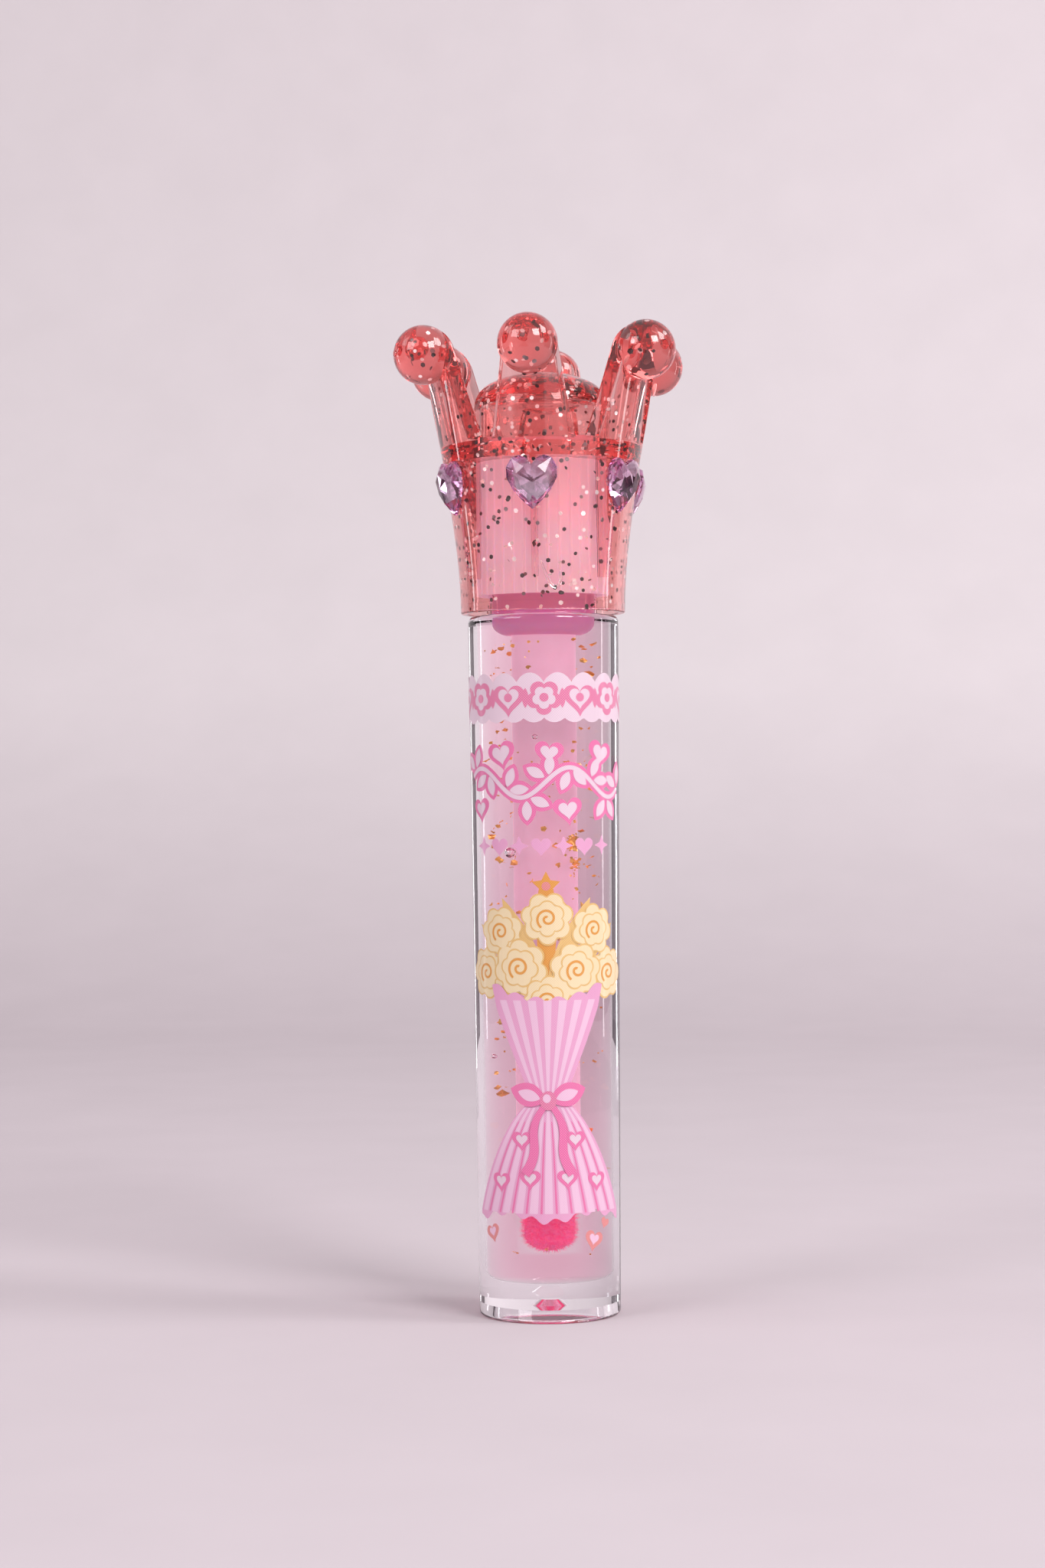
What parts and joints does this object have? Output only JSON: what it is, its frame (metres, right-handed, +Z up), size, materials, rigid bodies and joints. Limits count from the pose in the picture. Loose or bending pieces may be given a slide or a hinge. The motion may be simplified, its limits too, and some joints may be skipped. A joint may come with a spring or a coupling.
{
  "type": "lip gloss tube",
  "caption": "Round clear lip gloss tube with a screw-on crown-shaped cap that carries a flocked wand, heart stones round the cap and a soft wiper in the neck.",
  "frame": {"origin": "centre of the foot, on the surface that the tube stands on", "axes": "+Z up along the tube's axis; -Y is the front, which one crown point, one heart stone and the printing face"},
  "size_m": [0.0324, 0.0366, 0.1143],
  "materials": {
    "bottle": "thick clear moulded plastic, polished",
    "gloss": "clear pale pink gel",
    "wiper": "soft hot pink plastic",
    "stem": "translucent pink plastic",
    "core": "plain moulded plastic",
    "flock": "short pink flock",
    "inner_cap": "translucent pale pink plastic",
    "crown": "clear coral plastic with fine silver glitter",
    "stone": "faceted pale pink stone with a silvered back",
    "glue": "clear glue"
  },
  "bodies": {
    "bottle": {"bottle": "bottle", "gloss_fill": "gloss", "wiper": "wiper"},
    "wand": {"wand_stem": "stem", "tip_core": "core", "tip_flock": "flock"},
    "cap": {"crown_shell": "crown", "inner_cap": "inner_cap", "heart_gem_1": "stone", "heart_gem_2": "stone", "heart_gem_3": "stone", "heart_gem_4": "stone", "heart_gem_5": "stone", "heart_gem_6": "stone", "gem_glue_1": "glue", "gem_glue_2": "glue", "gem_glue_3": "glue", "gem_glue_4": "glue", "gem_glue_5": "glue", "gem_glue_6": "glue"}
  },
  "joints": [
    {"name": "cap_lift", "type": "slide", "parent": "bottle", "child": "wand", "axis": [0, 0, 1], "range_m": [0, 0.09]},
    {"name": "cap_twist", "type": "hinge", "parent": "wand", "child": "cap", "pos_m": [0, 0, 0.09], "axis": [0, 0, 1], "range_deg": [0, 720]}
  ]
}
